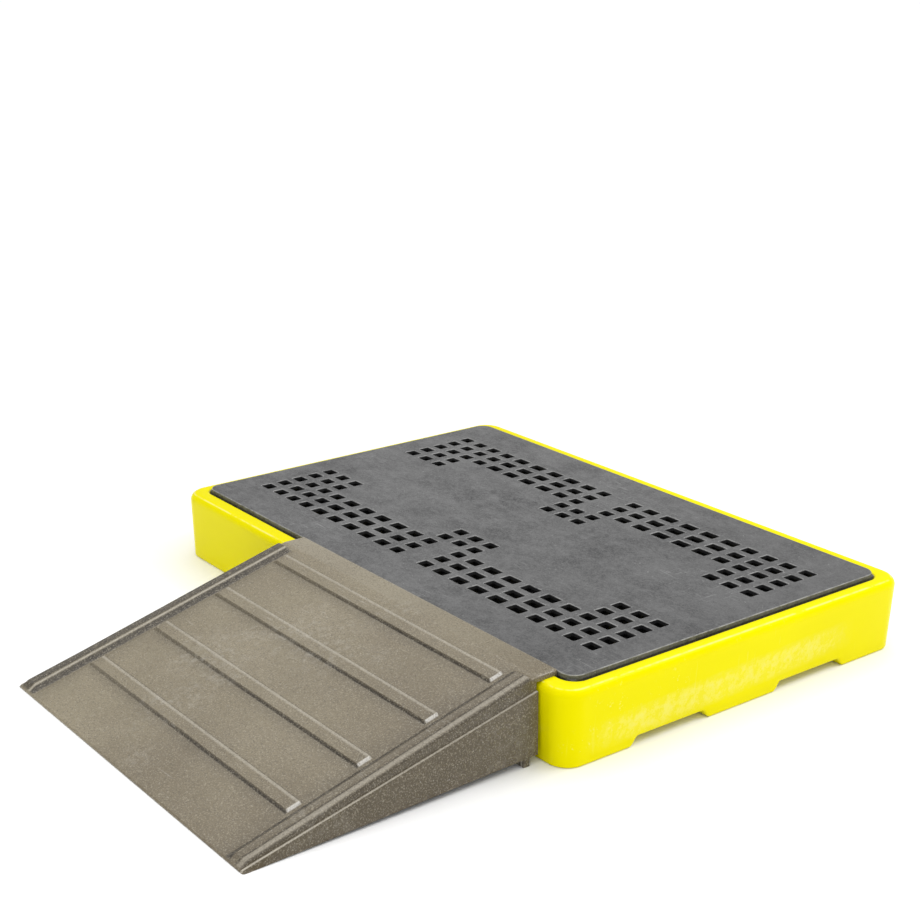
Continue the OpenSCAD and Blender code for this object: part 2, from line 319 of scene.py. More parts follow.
def grey_plastic():
    """Dark grey deck: mottled and grainy, scratched, worn paler on its rounded edges, with painted shade
    towards +X and in the holes.
    """
    material, tree, bsdf = nodes_of("grey_plastic")
    s = Shade(tree)
    x, y, z = s.axes()
    cloudy = s.patches(0.38, 0.62, 6.5, 6, 0.68)
    tone = s.mix(cloudy, (0.036, 0.036, 0.037), (0.106, 0.106, 0.106))
    smears = s.patches(0.50, 0.64, 1.0, 5, 0.72, s.stretched((9, 30, 9), (0, 0, 30)))
    tone = s.mix(s.times(smears, 0.38), tone, (0.180, 0.180, 0.180))
    coarse = s.patches(0.46, 0.58, 125.0, 4, 0.75)
    tone = s.mix(s.times(coarse, 0.42), tone, (0.180, 0.180, 0.179))
    grain = s.patches(0.42, 0.62, 330.0, 3, 0.7)
    tone = s.mix(s.times(grain, 0.40), tone, (0.235, 0.235, 0.233))
    blots = s.patches(0.50, 0.66, 34.0, 5, 0.75)
    tone = s.mix(s.times(blots, 0.42), tone, (0.19, 0.19, 0.19))
    pits = s.patches(0.56, 0.68, 270.0, 3, 0.7, s.stretched((1, 1, 1), (25, 0, 60)))
    tone = s.mix(s.times(pits, 0.45), tone, (0.035, 0.035, 0.036))
    # Painted shade: the deck is darkened evenly towards its +X end.
    tone = s.mix(s.remap(x, -200 * MM, DECK_L, 0.0, 0.30), tone, (0.060, 0.060, 0.061))

    facing = s.node("ShaderNodeSeparateXYZ")
    s.link(s.node("ShaderNodeNewGeometry").outputs["True Normal"], facing.inputs["Vector"])
    rounded = s.band(facing.outputs["Z"], 0.20, 0.97, 0.02)
    edge = s.times(rounded, s.remap(s.noise(40.0, 4, 0.7), 0.38, 0.58, 0.25, 1.0))
    marks = s.most(s.scratches((20, 260, 20), (0, 0, 35), 0.63, 0.72),
                   s.scratches((260, 24, 20), (0, 0, 22), 0.64, 0.73),
                   s.scratches((30, 340, 20), (0, 0, -12), 0.65, 0.73))
    specks = s.times(s.patches(0.69, 0.75, 170.0, 2, 0.5), s.patches(0.46, 0.60, 7.0, 3))
    pale_marks = s.most(s.times(marks, 0.38), s.times(specks, 0.75), s.times(edge, 0.85))
    tone = s.mix(pale_marks, tone, (0.36, 0.36, 0.355))

    margin = 20 * MM                  # the deck's own side faces lie outside it, the holes' walls inside
    inside = s.times(s.remap(s.math("ABSOLUTE", x), DECK_L - margin, DECK_L - margin + MM, 1.0, 0.0),
                     s.remap(s.math("ABSOLUTE", y), DECK_W - margin, DECK_W - margin + MM, 1.0, 0.0))
    # Painted shade: the walls inside the holes are painted almost black.
    hole_shade = s.times(s.remap(z, DECK_Z - 2.6 * MM, DECK_Z - 1.4 * MM, 1.0, 0.0), inside)
    tone = s.mix(s.times(hole_shade, 0.92), tone, (0.012, 0.012, 0.013))
    s.finish(bsdf, tone, s.remap(cloudy, 0.0, 1.0, 0.40, 0.52),
             s.bump(s.noise(420.0, 4, 0.7), 0.35, 0.25 * MM), 0.30)
    return material


def column_plastic():
    """Plain dark grey polyethylene of the hidden columns."""
    material, tree, bsdf = nodes_of("column_plastic")
    s = Shade(tree)
    s.finish(bsdf, s.mix(s.noise(30.0, 4), (0.035, 0.035, 0.037), (0.075, 0.075, 0.078)),
             s.remap(s.noise(60.0, 3), 0.3, 0.7, 0.42, 0.58), s.bump(s.noise(350.0, 3), 0.2, 0.3 * MM), 0.5)
    return material


class RampShade(Shade):
    """Adds places on the ramp: outwards from its middle, up its slope and from the nearest rib."""

    def __init__(self, tree):
        super().__init__(tree)
        self.x, self.y, _ = self.axes()
        self.out = self.away(self.x, RAMP_X)
        climb = self.times(self.math("SUBTRACT", self.y, FOOT_Y), 1 / math.cos(SLOPE))
        pitch = RIB_AT[1] - RIB_AT[0]
        self.step = self.math("WRAP", self.math("SUBTRACT", climb, RIB_AT[0]), pitch / 2, -pitch / 2)
        self.on_slope = self.band(climb, RAIL_START, RAIL_END - 6 * MM, 3 * MM)
        self.rib_zone = self.band(climb, 90 * MM, 600 * MM, 4 * MM)
        between_ends = self.remap(self.out, RIB_HALF_L - 1 * MM, RIB_HALF_L, 1, 0)
        self.among_ribs = self.times(self.rib_zone, between_ends)

    def across(self, left, right):
        """A value that changes evenly from the ramp's left side to its right side."""
        return self.remap(self.x, RAMP_X - HALF, RAMP_X + HALF, left, right)

    def sides(self, left, right):
        """One value on the left half of the ramp and another on the right half."""
        return self.remap(self.x, RAMP_X - 1 * MM, RAMP_X, left, right)


def ramp_ground(s):
    """Colour of the tread, mottled and darkened to the right by painted shade, and of the skirts, which are
    darker.
    """
    # Painted shade: the across() term darkens the tread from left to right; the noise is its own mottle.
    mottle_and_shade = s.math("ADD", s.remap(s.noise(3.2, 3), 0.35, 0.65, 0.0, 0.45), s.across(0.66, -0.16))
    tread = s.mix(mottle_and_shade, (0.138, 0.110, 0.068), (0.268, 0.230, 0.154))
    skirt = s.mix(s.noise(40.0, 4), (0.084, 0.064, 0.034), (0.122, 0.096, 0.053))
    return s.mix(s.remap(s.out, HALF - 1.2 * MM, HALF - 0.3 * MM), tread, skirt)


def ramp_painted_shade(s):
    """Painted shade at the feet of the ribs and in the gutters, the creases of the rails and over the left
    rail's top, with slightly darker rib tops.
    """
    top_half = RIB_HALF_W - RIB_EDGE
    # Painted shadow along the low side of each rib, stronger to the right, with a soft painted shadow before
    # it.
    low_side = s.times(s.band(s.step, -RIB_HALF_W - 1 * MM, -top_half - 0.5 * MM, 1.2 * MM), s.among_ribs)
    low_side = s.times(low_side, s.remap(s.x, RAMP_X - RIB_HALF_L, RAMP_X + 60 * MM, 0.42, 0.95))
    before_rib = s.times(s.remap(s.step, -RIB_HALF_W - 26 * MM, -RIB_HALF_W, 0.0, 0.35),
                         s.remap(s.step, -top_half, -top_half + MM, 1, 0))
    rib_top = s.times(s.band(s.step, -top_half, top_half, 2 * MM), 0.06)
    # Painted shade in the crease at the upper foot of each rib.
    high_foot = s.band(s.step, RIB_HALF_W - 1.2 * MM, RIB_HALF_W + 1.4 * MM, 1.0 * MM)
    high_foot = s.times(s.times(high_foot, s.among_ribs), 0.55)

    # Painted shade on the rails' inner slopes, grooves and shoulders, and over the left rail's top, which
    # faces away from the lights.
    slope_in = s.band(s.out, RAIL_IN - 3 * MM, RAIL_IN + 9.5 * MM, 1.5 * MM)
    groove = s.band(s.out, RAIL_GROOVE - 1.6 * MM, RAIL_GROOVE + 1.6 * MM, 1.4 * MM)
    shoulder = s.band(s.out, HALF - 3 * MM, HALF + 0.2 * MM, 1.5 * MM)
    left_top = s.times(s.sides(1, 0), s.remap(s.out, RAIL_IN + 17 * MM, RAIL_IN + 20 * MM))
    rail_shade = s.most(slope_in, groove, s.times(shoulder, 0.8), s.times(left_top, 0.92))
    # Painted shade on the tread along the foot of each rail.
    gutter = s.remap(s.out, RAIL_IN - 46 * MM, RAIL_IN, 0.0, 0.30)
    return s.most(s.times(rail_shade, s.on_slope), low_side, high_foot,
                  s.times(s.most(before_rib, rib_top), s.among_ribs), s.times(gutter, s.on_slope))


def ramp_painted_highlights(s):
    """Painted highlights along the rails' crests, the ribs' upper edges and the side ledges, and a painted
    reflection on the lip.
    """
    top_half = RIB_HALF_W - RIB_EDGE
    # Painted highlights: the left rail's inner crest, and the right rail's outer crest and shoulder, which
    # face the lights.
    inner_crest = s.times(s.band(s.out, RAIL_IN + 11 * MM, RAIL_IN + 16 * MM, 1.5 * MM), s.sides(1.0, 0.05))
    outer_crest = s.times(s.band(s.out, RAIL_GROOVE + 3 * MM, HALF - 4 * MM, 1.5 * MM), s.sides(0.0, 0.50))
    # Painted highlight on the upper edge of each rib.
    high_side = s.band(s.step, top_half - 5.2 * MM, top_half + 0.6 * MM, 1.6 * MM)
    high_side = s.times(s.times(high_side, s.among_ribs), 0.62)
    # Painted highlight along the side ledges, and a painted reflection on the lip, paler on the left.
    ledge = s.band(s.out, HALF + 1.2 * MM, SKIRT_TOP - 0.8 * MM, 0.5 * MM)
    lip = s.times(s.remap(s.y, FOLD_Y - 4 * MM, FOLD_Y + 2 * MM), s.across(0.42, 0.10))
    return s.most(s.times(s.most(inner_crest, outer_crest), s.on_slope), high_side, ledge, lip)


def ramp_rib_ends(s):
    """Almost white ends of the ribs: worn bare, and brightened further as a painted highlight."""
    top_half = RIB_HALF_W - RIB_EDGE
    ends = s.band(s.out, RIB_HALF_L - RIB_END, RIB_HALF_L - 0.6 * MM, 0.8 * MM)
    return s.times(s.times(ends, s.band(s.step, -top_half, top_half, 1.5 * MM)), s.rib_zone)


def taupe_plastic():
    """Satin grey-brown ramp: speckled, with painted shade in its creases and painted highlights on rails,
    ledges and worn rib ends.
    """
    material, tree, bsdf = nodes_of("taupe_plastic")
    s = RampShade(tree)
    # Noise that breaks up the painted shade and the painted highlights.
    breakup = s.remap(s.noise(70.0, 4, 0.7), 0.35, 0.62, 0.80, 1.0)
    # Painted shade at the ribs and in the creases, then painted highlights on rails, ribs, ledges and lip.
    tone = s.mix(s.times(ramp_painted_shade(s), breakup), ramp_ground(s), (0.036, 0.030, 0.024))
    tone = s.mix(s.times(ramp_painted_highlights(s), breakup), tone, (0.43, 0.395, 0.325))
    # Rib ends: worn bare, and also a painted highlight.
    tone = s.mix(s.times(ramp_rib_ends(s), 0.9), tone, (0.62, 0.60, 0.56))

    pale = s.patches(0.52, 0.66, 360.0, 2, 0.7)
    dark = s.patches(0.51, 0.66, 330.0, 2, 0.7, s.stretched((1, 1, 1), (40, 20, 0)))
    tone = s.mix(s.times(pale, 0.45), tone, (0.46, 0.415, 0.32))
    tone = s.mix(s.times(dark, 0.55), tone, (0.075, 0.063, 0.045))
    blotches = s.times(s.patches(0.56, 0.68, 4.4, 2), s.patches(0.48, 0.68, 60.0, 5, 0.75))
    marks = s.scratches((18, 220, 30), (0, 0, -30), 0.66, 0.73)
    flecks = s.patches(0.72, 0.77, 230.0, 1, 0.5, s.stretched((1, 1, 1), (0, 35, 15)))
    scuffs = s.most(s.times(blotches, 0.30), s.times(marks, 0.28), s.times(flecks, 0.38))
    s.finish(bsdf, s.mix(scuffs, tone, (0.48, 0.455, 0.40)),
             s.remap(s.most(s.noise(12.0, 4), scuffs), 0.3, 0.8, 0.22, 0.36),
             s.bump(s.noise(430.0, 3, 0.6), 0.16, 0.25 * MM), 0.40)
    return material


def floor_material():
    """Matt, nearly white floor."""
    material, tree, bsdf = nodes_of("studio_floor")
    s = Shade(tree)
    s.link(s.mix(s.noise(0.6, 2), (0.96, 0.96, 0.96), (0.97, 0.97, 0.97)), bsdf.inputs["Base Color"])
    bsdf.inputs["Roughness"].default_value = 0.9
    bsdf.inputs["Specular IOR Level"].default_value = 0.1
    return material


# ---------------------------------------------------------------- sump tray

def channel_z(y):
    """Height of the base above the floor at a distance y from the centre line."""
    a, b, c, d = CHANNEL_EDGES
    y = abs(y)
    if y <= a or y >= d:
        return 0.0
    if y < b:
        return CHANNEL_H * smooth((y - a) / (b - a))
    if y > c:
        return CHANNEL_H * smooth((d - y) / (d - c))
    return CHANNEL_H


def side_breaks():
    """Places along the tray's short side where its lower edge bends."""
    a, b, c, d = CHANNEL_EDGES
    marks = [a + (b - a) * i / 8 for i in range(9)] + [c + (d - c) * i / 8 for i in range(9)]
    marks += [(b + c) / 2, 0.33]
    return sorted([-m for m in marks] + [0.0, -0.04, 0.04] + marks)


def tray_loop(bm, half_l, half_w, r, z):
    """One level of the tray: a rectangle with round corners, whose low levels follow the channels."""
    cx, cy = half_l - r, half_w - r
    long_side = [cx * (1 - 2 * i / 24) for i in range(25)]
    points = [(half_l, y) for y in side_breaks()]
    points += arc(cx, cy, r, 0, 90, 12)
    points += [(x, half_w) for x in long_side[1:-1]]
    points += arc(-cx, cy, r, 90, 180, 12)
    points += [(-half_l, -y) for y in side_breaks()]
    points += arc(-cx, -cy, r, 180, 270, 12)
    points += [(-x, -half_w) for x in long_side[1:-1]]
    points += arc(cx, -cy, r, 270, 360, 12)
    fade = 1 - smooth((z - 14 * MM) / (60 * MM))
    return [bm.verts.new((x, y, z + channel_z(y) * fade)) for x, y in points]


def build_tray():
    """Outer wall, rolled rim, inner drop, ledge and floor, all one moulding."""
    bm = bmesh.new()
    loops = []

    def outer(inset, z):
        loops.append(tray_loop(bm, TRAY_L - inset, TRAY_W - inset, max(CORNER_R - inset, 4 * MM), z))

    def inner(gap, z):
        loops.append(tray_loop(bm, DECK_L + gap, DECK_W + gap, max(DECK_R + gap, 4 * MM), z))

    tangent_z = RIM_Z - RIM_R - RIM_R * math.sin(DRAFT)
    roll = RIM_R * (1 - math.cos(DRAFT))

    def lean(z):
        return roll + (tangent_z - z) * math.tan(DRAFT)

    base_r = 5 * MM
    for x, z in arc(lean(base_r) + base_r, base_r, base_r, 270, 180, 6):
        outer(x, z)
    for z in (20, 40, 60, 85, 105, 125):
        outer(lean(z * MM), z * MM)
    for x, z in arc(RIM_R, RIM_Z - RIM_R, RIM_R, 180 + math.degrees(DRAFT), 90, 14):
        outer(x, z)
    for x, z in arc(DECK_GAP + 5 * MM, RIM_Z - 5 * MM, 5 * MM, 90, 180, 6):
        inner(x, z)
    for x, z in arc(DECK_GAP - 2 * MM, LEDGE_Z + 2 * MM, 2 * MM, 0, -90, 3):
        inner(x, z)
    for x, z in arc(-14 * MM, LEDGE_Z - 2 * MM, 2 * MM, 90, 180, 3):
        inner(x, z)
    inner(-16 * MM, LEDGE_Z - WALL)
    inner(DECK_GAP + WALL, LEDGE_Z - WALL)
    inner(DECK_GAP + WALL, RIM_Z - WALL)
    for x, z in arc(RIM_R, RIM_Z - RIM_R, RIM_R - WALL, 90, 180, 5):
        outer(x, z)
    for x, z in arc(lean(16 * MM) + WALL + 10 * MM, 16 * MM, 10 * MM, 180, 270, 5):
        outer(x, z)
    outer(36 * MM, WALL)
    outer(36 * MM, 0.0)
    join_loops(bm, loops, close_ends=True)
    tray_floor(bm)
    return finish_piece("sump_tray_moulding", bm, YELLOW, "tray", ["sump_tray"])


def tray_floor(bm):
    """Floor sheet that steps up over both channels."""
    inset = 28 * MM
    half_l, half_w, r = TRAY_L - inset, TRAY_W - inset, 22 * MM
    lift = 0.05 * MM
    sheet = bmesh.new()
    outline = []
    for sx, sy, a in ((1, 1, 0), (-1, 1, 90), (-1, -1, 180), (1, -1, 270)):
        outline += arc(sx * (half_l - r), sy * (half_w - r), r, a, a + 90, 6)
    sheet.faces.new([sheet.verts.new((x, y, 0)) for x, y in outline])
    for y in side_breaks():
        geometry = list(sheet.verts) + list(sheet.edges) + list(sheet.faces)
        bmesh.ops.bisect_plane(sheet, geom=geometry, plane_co=(0, y, 0), plane_no=(0, 1, 0))
    top = {v: bm.verts.new((v.co.x, v.co.y, WALL - lift + channel_z(v.co.y))) for v in sheet.verts}
    low = {v: bm.verts.new((v.co.x, v.co.y, lift + channel_z(v.co.y))) for v in sheet.verts}
    for f in sheet.faces:
        bm.faces.new([top[v] for v in f.verts])
        bm.faces.new([low[v] for v in reversed(f.verts)])
    for e in sheet.edges:
        if e.is_boundary:
            a, b = e.verts
            bm.faces.new((top[a], top[b], low[b], low[a]))
    sheet.free()


# ---------------------------------------------------------------- deck

def hole_spans():
    """X spans of the holes on one side of the deck, from the middle outwards."""
    spans, x = [], HOLE_START
    for width in HOLE_WIDTHS:
        spans.append((x, x + width))
        x += width + HOLE_WEB
    return spans


def row_spans():
    """Y spans of the rows of holes on one side of the deck."""
    middles = [ROW_FIRST + k * ROW_PITCH for k in range(ROWS)]
    return [(m - HOLE_D / 2, m + HOLE_D / 2) for m in middles]


def mirrored(values):
    """The values given and their negatives, in order."""
    return sorted(set([-v for v in values] + list(values)))


def index_in(spans, value):
    for i, (a, b) in enumerate(spans):
        if a < value < b:
            return i
    return None


def is_hole(x, y):
    row = index_in(row_spans(), abs(y))
    if row is None:
        return False
    if abs(x) < HOLE_WIDTHS[0] / 2:
        return row < 2
    column = index_in(hole_spans(), abs(x))
    if column is None:
        return False
    return row >= 2 or column in (0, 7, 8, 9)


def build_deck():
    """Panel with rounded hole edges, and the rib lattice below it."""
    bm = bmesh.new()
    edges_x = [v for span in hole_spans() for v in span] + [HOLE_WIDTHS[0] / 2, DECK_L]
    edges_y = [v for span in row_spans() for v in span] + [DECK_W]
    lattice(bm, mirrored(edges_x), mirrored(edges_y), lambda x, y: not is_hole(x, y), DECK_Z - PLATE, DECK_Z)

    def is_corner(e):
        a, b = e.verts
        return abs(a.co.x) > DECK_L - MM and abs(a.co.y) > DECK_W - MM and abs(a.co.z - b.co.z) > MM

    def is_hole_corner(e):
        a, b = e.verts
        upright = abs(a.co.z - b.co.z) > MM
        return upright and abs(a.co.x) < DECK_L - MM and e.calc_face_angle(0) > 1

    def is_top_edge(e):
        if min(v.co.z for v in e.verts) < DECK_Z - 0.1 * MM or len(e.link_faces) != 2:
            return False
        return e.calc_face_angle(0) > 1

    def bevel(test, offset, segments):
        chosen = [e for e in bm.edges if test(e)]
        bmesh.ops.bevel(bm, geom=chosen, offset=offset, segments=segments, profile=0.5, affect="EDGES")

    bevel(is_corner, DECK_R, 12)
    bevel(is_hole_corner, 2.6 * MM, 4)
    bevel(is_top_edge, 1.6 * MM, 3)
    deck_ribs(bm)
    panel = finish_piece("deck_panel", bm, GREY, "deck", ["deck_grating"], crease=40)
    panel.modifiers.new("flat faces stay flat", "WEIGHTED_NORMAL").keep_sharp = True
    return panel


def deck_ribs(bm):
    """Ribs that stand under the webs between the holes, inside an edge wall."""
    half, edge, wall = 2.5 * MM, 3 * MM, 6 * MM     # half a rib, the wall's set-back and its thickness
    halfway = 49 * MM                               # a rib between the middle and the first row of holes
    webs_x = [(HOLE_START + HOLE_WIDTHS[0] / 2) / 2] + [high + HOLE_WEB / 2 for _, high in hole_spans()]
    webs_y = [0.0, halfway] + [ROW_FIRST + (k - 0.5) * ROW_PITCH for k in range(ROWS + 1)]
    lines_x = [DECK_L - edge, DECK_L - edge - wall] + [w + s for w in webs_x for s in (-half, half)]
    lines_y = [DECK_W - edge, DECK_W - edge - wall] + [w + s for w in webs_y for s in (-half, half)]

    def is_rib(x, y):
        in_wall = abs(x) > DECK_L - edge - wall or abs(y) > DECK_W - edge - wall
        on_x = any(abs(abs(x) - w) < half for w in webs_x)
        on_y = any(abs(abs(y) - w) < half for w in webs_y)
        return in_wall or on_x or on_y

    made = bmesh.new()
    lattice(made, mirrored(lines_x), mirrored(lines_y), is_rib, LEDGE_Z, DECK_Z - PLATE + 0.3 * MM)
    corners = [e for e in made.edges if abs(e.verts[0].co.z - e.verts[1].co.z) > MM
               and abs(e.verts[0].co.x) > DECK_L - edge - MM and abs(e.verts[0].co.y) > DECK_W - edge - MM]
    bmesh.ops.bevel(made, geom=corners, offset=DECK_R - edge, segments=8, profile=0.5, affect="EDGES")
    copy_into(bm, made)


def copy_into(bm, other):
    """Adds another bmesh to bm and frees it."""
    scratch = bpy.data.meshes.new("scratch")
    other.to_mesh(scratch)
    other.free()
    bm.from_mesh(scratch)
    bpy.data.meshes.remove(scratch)


# ---------------------------------------------------------------- support columns

def build_column(name):
    """Flanged tube with gussets under its head."""
    lo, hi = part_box(name)
    cx, cy = (lo[0] + hi[0]) / 2, (lo[1] + hi[1]) / 2
    r, bore, head = 35 * MM, 30 * MM, (hi[0] - lo[0]) / 2
    bm = bmesh.new()
    outline = [(bore, lo[2]), (r - 1 * MM, lo[2]), (r, lo[2] + 1 * MM)]
    outline += [(x, z) for x, z in arc(r + 5 * MM, hi[2] - 11 * MM, 5 * MM, 180, 90, 5)]
    outline += [(head - 1 * MM, hi[2] - 6 * MM), (head, hi[2] - 5 * MM), (head, hi[2] - 1 * MM),
                (head - 1 * MM, hi[2]), (bore, hi[2])]
    lathe(bm, (cx, cy), outline)
    for k in range(8):
        a = 2 * math.pi * (k + 0.5) / 8
        root, top = r - 1 * MM, hi[2] - 5.5 * MM
        gusset = [(root, hi[2] - 34 * MM), (root, top), (head - 2 * MM, top)]
        sides = []
        for off in (-1.5 * MM, 1.5 * MM):
            sides.append([bm.verts.new((cx + x * math.cos(a) - off * math.sin(a),
                                        cy + x * math.sin(a) + off * math.cos(a), z)) for x, z in gusset])
        bm.faces.new(sides[0])
        bm.faces.new(list(reversed(sides[1])))
        join_loops(bm, sides)
    return finish_piece(name + "_moulding", bm, DARK, "deck", [name])


# ---------------------------------------------------------------- ramp

HALF = 386.5 * MM                     # half width over the rails
RAIL_IN = HALF - 43 * MM
RAIL_H = 5.5 * MM
RAIL_START, RAIL_END = 3 * MM, SLOPE_L - 7 * MM
RAIL_GROOVE, RAIL_CREST = HALF - 17 * MM, HALF - 12.5 * MM
SKIRT_TOP, SKIRT_LOW = 392 * MM, 395.6 * MM
LEDGE_DROP, SKIRT_LIFT = 25 * MM, 17 * MM
FLANGE = 24.7 * MM                    # depth of the lip's side flange
FLANGE_SEAM = 0.205                   # share of a side's height where it has one more line of vertices
RIB_HALF_L, RIB_HALF_W, RIB_H = 335 * MM, 16.5 * MM, 4.5 * MM
RIB_EDGE, RIB_END = 3.6 * MM, 5.2 * MM   # widths of a rib's sloped edges and of its sloped ends
RIB_AT = [(138 + 141.5 * k) * MM for k in range(4)]
FOOT_R = 5 * MM                       # plan radius of the foot's corners
FOLD_R = 16 * MM
LIP_EDGE = 2.5 * MM
HOOK_SIDE = 5 * MM                    # depth of the side flange at the hook
WEB_PITCH, WEBS = 128 * MM, 5


def along(y):
    """Share of the slope climbed at y: 0 at the foot, 1 at the fold."""
    return min(1.0, max(0.0, (y - FOOT_Y) / (FOLD_Y - FOOT_Y)))


def rail_height(x, s):
    """Height of a side rail above the tread, with its groove, at x from the middle and s up the slope."""
    x = abs(x)
    side = x - RAIL_IN
    end = min((s - RAIL_START) * 0.7, RAIL_END - s)
    r = 9 * MM
    inside = r - math.hypot(r - side, r - end) if side < r and end < r else min(side, end)
    rise = RAIL_H * smooth(inside / (11 * MM))
    groove = math.exp(-((x - RAIL_GROOVE) / (2.6 * MM)) ** 2) * smooth((inside - 8 * MM) / (6 * MM))
    return rise - 1.9 * MM * groove


def tread_height(x, s):
    """Height of everything that stands on the tread, or is pressed into it."""
    gutter = math.exp(-((abs(x) - (RAIL_IN - 4 * MM)) / (3.2 * MM)) ** 2)
    gutter *= smooth(s / (30 * MM)) * smooth((SLOPE_L - 6 * MM - s) / (10 * MM))
    rib = 0.0
    for at in RIB_AT:
        inside = min((RIB_HALF_W - abs(s - at)) / RIB_EDGE, (RIB_HALF_L - abs(x)) / RIB_END)
        rib = max(rib, RIB_H * (0.3 * smooth(inside) + 0.7 * min(1.0, max(0.0, inside))))
    return rail_height(x, s) + rib - 1.1 * MM * gutter


def tread_stations():
    """Distances from the ramp's middle where the skin has a line of vertices."""
    marks = [0, 60, 120, 180, 240, 280, 306, 322, 328, 329.5, 331, 332, 333, 334, 335, 336.2, 338, 340, 342]
    marks += [343.5 + 1.5 * k for k in range(9)]
    marks += [358, 360.5, 363, 364.8, 366.2, 367.4, 368.5, 369.5, 370.5, 371.6, 372.8, 374.2, 376, 378.5]
    return [m * MM for m in marks]


def half_section(s, drop, low, lip):
    """Half of a cross-section, from the middle outwards, as pairs of an outer and an inner (x, height)."""
    def raised(x):
        return 0.0 if s is None else tread_height(x, s)

    pairs = [((x, raised(x)), (x, raised(x) - SKIN)) for x in tread_stations()]
    top = raised(RAIL_CREST)
    reach = top + drop
    r = min(6.5 * MM, 0.6 * reach)
    thin = max(r - SKIN, 0.2 * MM)
    for k in range(7):
        a = math.radians(90 - 15 * k)
        pairs.append(((HALF - r + r * math.cos(a), top - r + r * math.sin(a)),
                      (HALF - r + thin * math.cos(a), top - r + thin * math.sin(a))))
    flange = top - r - FLANGE_SEAM * (reach - r)
    pairs.append(((HALF, flange), (HALF - SKIN, flange)))
    if lip:
        return pairs
    c = min(1.2 * MM, 0.2 * reach)
    e = min(2.0 * MM, 0.3 * (-low - drop))
    inner_x, skirt_in = HALF - SKIN, SKIRT_TOP - SKIN
    pairs += [((HALF, c - drop), (inner_x, c - drop - 0.5 * SKIN)),
              ((HALF + 0.3 * c, 0.3 * c - drop), (inner_x + 0.1 * MM, -drop - 0.9 * SKIN)),
              ((HALF + c, -drop), (inner_x + 0.6 * MM, -drop - SKIN)),
              ((SKIRT_TOP - e, -drop), (skirt_in - 1.2 * MM, -drop - SKIN)),
              ((SKIRT_TOP - 0.3 * e, -drop - 0.3 * e), (skirt_in - 0.2 * MM, -drop - SKIN - 0.2 * MM)),
              ((SKIRT_TOP, -drop - e), (skirt_in, -drop - SKIN - 1.0 * MM))]
    for t in (0.3, 0.65, 1.0):
        x, h = SKIRT_TOP + (SKIRT_LOW - SKIRT_TOP) * t, -drop - e + (low + drop + e) * t
        pairs.append(((x, h), (x - SKIN, min(h, -drop - SKIN - 1.1 * MM) if t < 1 else h)))
    return pairs


def section_loop(bm, half, place):
    """A closed cross-section: its outer line from left to right, then its inner line back."""
    both = [tuple((-x, h) for x, h in pair) for pair in reversed(half[1:])] + half
    return tuple([bm.verts.new(place(*pair[side])) for pair in both] for side in (0, 1))


def slope_rows():
    """Distances up the slope where the skin has a row of vertices."""
    rows = [3, 5, 8, 11, 14, 18, 24, 32, 42, 56, 74, 96]
    steps = (22, 17.5, 16.5, 15.6, 14.7, 13.8, 12.9, 12, 8)
    for at in RIB_AT:
        middle = at / MM
        rows += [middle + side * d for side in (-1, 1) for d in steps] + [middle, middle + 45, middle + 90]
    end = RAIL_END / MM
    rows += [end - d for d in (22, 17, 14, 12, 10, 8.5, 7, 5.5, 4, 2.5, 1, 0)]
    last = (SLOPE_L - FOLD_R * math.tan(SLOPE / 2)) / MM - 0.3
    return sorted(r * MM for r in rows if r < last)


def skin_slope(bm):
    """Loops of the slope from the rounded foot to the fold."""
    rounding = ((0.0, 1.6 * MM), (0.45 * MM, 3.1 * MM), (1.3 * MM, 3.85 * MM))
    path = [(FOOT_Y + forward, z, 0.0) for forward, z in rounding]
    path += [(FOOT_Y + s * math.cos(SLOPE), FRONT_T + s * math.sin(SLOPE), s) for s in slope_rows()]
    bend = FOLD_R * math.tan(SLOPE / 2)
    for k in range(4):
        a = SLOPE * (1 - k / 6)
        path.append((FOLD_Y + bend - FOLD_R * math.sin(a), LIP_Z - FOLD_R * (1 - math.cos(a)), None))
    loops = []
    for y, z, s in path:
        drop = min(max(0.6 * MM, LEDGE_DROP * along(y)), 0.4 * z)
        low = min(SKIRT_LIFT * along(y), 0.3 * z) - z
        corner = min(y - FOOT_Y, FOOT_R)
        round_in = FOOT_R - math.sqrt(FOOT_R ** 2 - (FOOT_R - corner) ** 2)
        squeeze = 1 - round_in / (SKIRT_LOW - RAIL_IN)

        def place(x, h, y=y, z=z, squeeze=squeeze):
            if abs(x) > RAIL_IN:
                x = math.copysign(RAIL_IN + (abs(x) - RAIL_IN) * squeeze, x)
            return RAMP_X + x, y, max(0.0, z + h)

        loops.append(section_loop(bm, half_section(s, drop, low, False), place))
    return loops


def skin_lip(bm):
    """Loops of the lip, its rounded end and the hook that hangs behind the rim."""
    path = [(y * MM, LIP_Z, 90) for y in (-444.5, -440, -430, -418, -408, -404.5)]
    path += [(LIP_END - LIP_EDGE + LIP_EDGE * math.cos(math.radians(a)),
              LIP_Z - LIP_EDGE + LIP_EDGE * math.sin(math.radians(a)), a) for a in (90, 67, 45, 22, 0)]
    path += [(LIP_END, z * MM, 0) for z in (150, 140, 131, 129.6)]
    loops = []
    for y, z, a in path:
        near = smooth((LIP_END - 3 * MM - y) / (4 * MM))
        drop = HOOK_SIDE + (FLANGE - HOOK_SIDE) * near
        n_y, n_z = math.cos(math.radians(a)), math.sin(math.radians(a))

        def place(x, h, y=y, z=z, n_y=n_y, n_z=n_z):
            h = max(h, -SKIN) if n_y > 0.1 else h
            return RAMP_X + x, y + h * n_y, z + h * n_z

        loops.append(section_loop(bm, half_section(None, drop, 0.0, True), place))
    return loops


def cap(bm, outer, inner):
    """Closes the end of the skin between its outer and inner lines."""
    for i in range(len(outer) - 1):
        bm.faces.new((outer[i], outer[i + 1], inner[i + 1], inner[i]))


